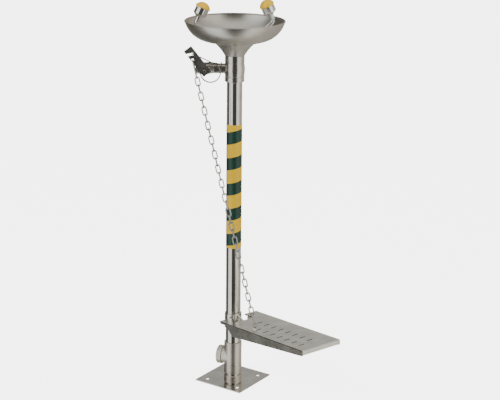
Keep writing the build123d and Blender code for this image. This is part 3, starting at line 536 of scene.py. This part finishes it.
@dataclass
class PullChain:
    """Welded links from the lever down to the treadle's eye."""

    wire: float = 1.9
    gap: float = 0.1
    width: float = 15.0
    top_width: float = 17.0
    top_length: float = 50.3
    end_length: float = 31.6
    count: int = 33

    def link(self, width: float, length: float, round_steps: int = 10) -> bmesh.types.BMesh:
        """Sweep one link, long along Z and wide along X.

        Args:
            width: outer width.
            length: between the wire centres at the two ends.
            round_steps: faces along each rounded end.

        Returns:
            The closed link's mesh.
        """
        bend = (width / 2 - self.wire) * MM
        run = length * MM / 2 - bend
        shape = bmesh.new()
        ring = bmesh.ops.create_circle(shape, segments=10, radius=self.wire * MM)["verts"]
        bmesh.ops.translate(shape, verts=ring, vec=(bend, 0, run))
        live = ring + list({edge for vert in ring for edge in vert.link_edges})
        for centre, side in (((0, 0, run), 1), ((0, 0, -run), -1)):
            made = bmesh.ops.spin(shape, geom=live, cent=centre, axis=(0, -1, 0), angle=math.pi,
                                  steps=round_steps)
            live = made["geom_last"]
            made = bmesh.ops.extrude_edge_only(
                shape, edges=[item for item in live if isinstance(item, bmesh.types.BMEdge)])
            live = [item for item in made["geom"] if not isinstance(item, bmesh.types.BMFace)]
            moved = [item for item in live if isinstance(item, bmesh.types.BMVert)]
            bmesh.ops.translate(shape, verts=moved, vec=(0, 0, -2 * run * side))
        bmesh.ops.remove_doubles(shape, verts=shape.verts[:], dist=1e-6)
        return shape

    def build(self, shop: Shop) -> None:
        """Lay the links from the top link's box to the end link's."""
        boxes = [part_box(name) for name in ("top_link", "end_link")]
        first, last = ((Vector(low) + Vector(high)) / 2 for low, high in boxes)
        line = (last - first).normalized()
        face = (Vector((0, -1, 0)) - line * Vector((0, -1, 0)).dot(line)).normalized()
        across = line.cross(face)
        shared = 2 * self.wire + self.gap
        reach = (last - first).length / MM
        pitch = (reach - (self.top_length + self.end_length) / 2 + shared) / self.count
        start = self.top_length / 2 - shared + (pitch + shared) / 2
        rows = [("top_link", 0.0, face, self.top_width, self.top_length),
                ("end_link", reach, face, self.width, self.end_length)]
        rows += [("chain_links", start + k * pitch, face if k % 2 else across, self.width, pitch + shared)
                 for k in range(self.count)]
        groups: dict[str, bmesh.types.BMesh] = {}
        for name, along, wide, width, length in rows:
            turn = Matrix((wide, line.cross(wide), line)).transposed().to_4x4()
            shape = self.link(width, length)
            shape.transform(Matrix.Translation(first + line * along * MM) @ turn)
            held = bpy.data.meshes.new("link")
            shape.to_mesh(held)
            shape.free()
            groups.setdefault(name, bmesh.new()).from_mesh(held)
            bpy.data.meshes.remove(held)
        for name, shape in groups.items():
            piece = to_piece(shape, f"welded_{name}", shop.made["zinc_link"], None, 60.0)
            stand_for(piece, "chain", "chain_steel", name)


@dataclass
class Studio:
    """Floor, surroundings, lights and camera."""

    focal: float = 1342.65
    back: float = 3.57653
    height: float = 1.595
    pitch: float = 0.28783
    roll: float = 0.00981
    yaw: float = 0.01252
    frame_width: float = 500.0
    sensor: float = 36.0
    floor_half: float = 30.0
    shell_radius: float = 28.0
    floor_drop: float = 0.0005

    def camera(self) -> None:
        """Stand the camera where its fitted position puts it."""
        ahead = Vector((math.sin(self.yaw), math.cos(self.yaw), 0))
        right = Vector((math.cos(self.yaw), -math.sin(self.yaw), 0))
        look = ahead * math.cos(self.pitch) - UP * math.sin(self.pitch)
        top = UP * math.cos(self.pitch) + ahead * math.sin(self.pitch)
        side = right * math.cos(self.roll) + top * math.sin(self.roll)
        crown = top * math.cos(self.roll) - right * math.sin(self.roll)
        data = bpy.data.cameras.new("studio_camera")
        data.sensor_width = self.sensor
        data.lens = self.sensor * self.focal / self.frame_width
        camera = bpy.data.objects.new("studio_camera", data)
        turn = Matrix((side, crown, -look)).transposed().to_4x4()
        camera.matrix_world = Matrix.Translation((0, -self.back, self.height)) @ turn
        bpy.context.scene.collection.objects.link(camera)
        bpy.context.scene.camera = camera

    def surroundings(self) -> None:
        """Lay pale walls with dark gaps, which the polished metal mirrors."""
        world = bpy.data.worlds.new("studio")
        world.use_nodes = True
        bpy.context.scene.world = world
        graph = Graph(world.node_tree)
        place = graph.node("ShaderNodeTexCoord", None, None, "Generated")
        x, y, z = graph.axes(place)
        share = x.turn(0.0 - y) / math.tau + 0.5
        walls = graph.node("ShaderNodeValToRGB", {"stops": [
            (0.0, (0.50, 0.49, 0.46)), (0.10, (0.16, 0.16, 0.14)), (0.255, (0.10, 0.10, 0.09)),
            (0.285, (1.5, 1.5, 1.5)), (0.41, (1.5, 1.5, 1.5)), (0.435, (0.07, 0.07, 0.06)),
            (0.575, (0.08, 0.08, 0.07)), (0.605, (1.5, 1.5, 1.45)), (0.69, (1.3, 1.25, 1.15)),
            (0.75, (0.62, 0.57, 0.50)), (1.0, (0.50, 0.49, 0.46))]}, {0: share})
        lift = graph.node("ShaderNodeMapRange", None, {0: z, 1: 0.55, 2: 0.9, 3: 0.0, 4: 1.0})
        sky = graph.node("ShaderNodeMix", {"data_type": "RGBA"}, {
            0: lift, 6: walls, 7: (0.86, 0.85, 0.82, 1.0)}, 2)
        light = graph.node("ShaderNodeBackground", None, {"Color": sky, "Strength": 1.0})
        graph.node("ShaderNodeOutputWorld", None, {"Surface": light})

    def lamps(self) -> None:
        """Hang two large soft lamps."""
        for name, spot, size, power in (("key", (-1.8, -2.2, 2.8), 1.8, 60),
                                        ("fill", (2.2, -1.6, 2.0), 1.6, 26)):
            data = bpy.data.lights.new(name, "AREA")
            data.size, data.energy = size, power
            lamp = bpy.data.objects.new(name, data)
            lamp.location = spot
            lamp.rotation_euler = (Vector((0, 0, 0.6)) - Vector(spot)).to_track_quat("-Z", "Y").to_euler()
            lamp.visible_glossy = False
            bpy.context.scene.collection.objects.link(lamp)

    def floor(self) -> None:
        """Lay the pale floor and shell, kept out of the metal's reflections."""
        shape = bmesh.new()
        bmesh.ops.create_grid(shape, x_segments=1, y_segments=1, size=self.floor_half)
        made = bpy.data.materials.new("pale_floor")
        made.use_nodes = True
        graph = Graph(made.node_tree)
        place = graph.node("ShaderNodeTexCoord", None, None, "Object")
        speck = graph.node("ShaderNodeTexNoise", None, {"Vector": place, "Scale": 5.0, "Detail": 2.0})
        colour = graph.node("ShaderNodeValToRGB", {
            "stops": [(0.3, (0.93, 0.93, 0.925)), (0.7, (0.95, 0.95, 0.945))]}, {0: speck})
        soft = graph.node("ShaderNodeBsdfPrincipled", None, {
            "Base Color": colour, "Roughness": 0.9, "Emission Color": (1, 1, 1, 1),
            "Emission Strength": 4.5})
        graph.node("ShaderNodeOutputMaterial", None, {"Surface": soft})
        floor = to_piece(shape, "studio_floor", made, Matrix.Translation((0, 0, -self.floor_drop)))
        shell = bmesh.new()
        bmesh.ops.create_icosphere(shell, subdivisions=4, radius=self.shell_radius)
        wall = to_piece(shell, "studio_shell", made)
        for shown in (floor, wall):
            shown.visible_glossy = False
            shown.visible_diffuse = False


def main() -> None:
    """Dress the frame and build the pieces."""
    logging.basicConfig(level=logging.INFO)
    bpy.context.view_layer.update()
    studio = Studio()
    studio.camera()
    studio.surroundings()
    studio.lamps()
    studio.floor()
    shop = Shop()
    shop.stock()
    shop.dress("satin_sheet", "treadle_plate", "treadle_rib_near", "treadle_rib_far",
               "hinge_cheek_near", "hinge_cheek_far", "hinge_lug", "strainer")
    shop.dress("base_sheet", "base_plate")
    shop.dress("waste_fitting", "lower_tee", "foot_ring")
    shop.dress("cast_fitting", "upper_tee", "valve_body", "valve_end_cap", "gland_nut", "lever_nut",
               "lever_washer", "valve_stem", "hinge_pin", "hinge_nut", "hinge_washer", "hinge_spacers",
               "eye_nuts")
    shop.dress("polished_tube", "foot_nipple", "hinge_collar", "riser_tube", "blanking_plug")
    shop.dress("spun_bowl", "waste_cone")
    shop.dress("chrome_plate", "manifold", "spray_arm_left", "spray_arm_right", "spray_cup_left",
               "spray_cup_right", "valve_ball")
    shop.dress("zinc_link", "eye_bolt")
    shop.dress("blued_steel", "lever_plate")
    shop.dress("spring_wire", "return_spring")
    shop.dress("white_insert", "spray_insert_left", "spray_insert_right", "ball_seats", "stem_packing")
    Column().build(shop)
    basin = Basin()
    basin.bowl(shop)
    basin.seam(shop)
    SprayHead("left", -1).build(shop)
    SprayHead("right", 1).build(shop)
    Treadle().build(shop)
    PullChain().build(shop)


if __name__ == "__main__":
    main()
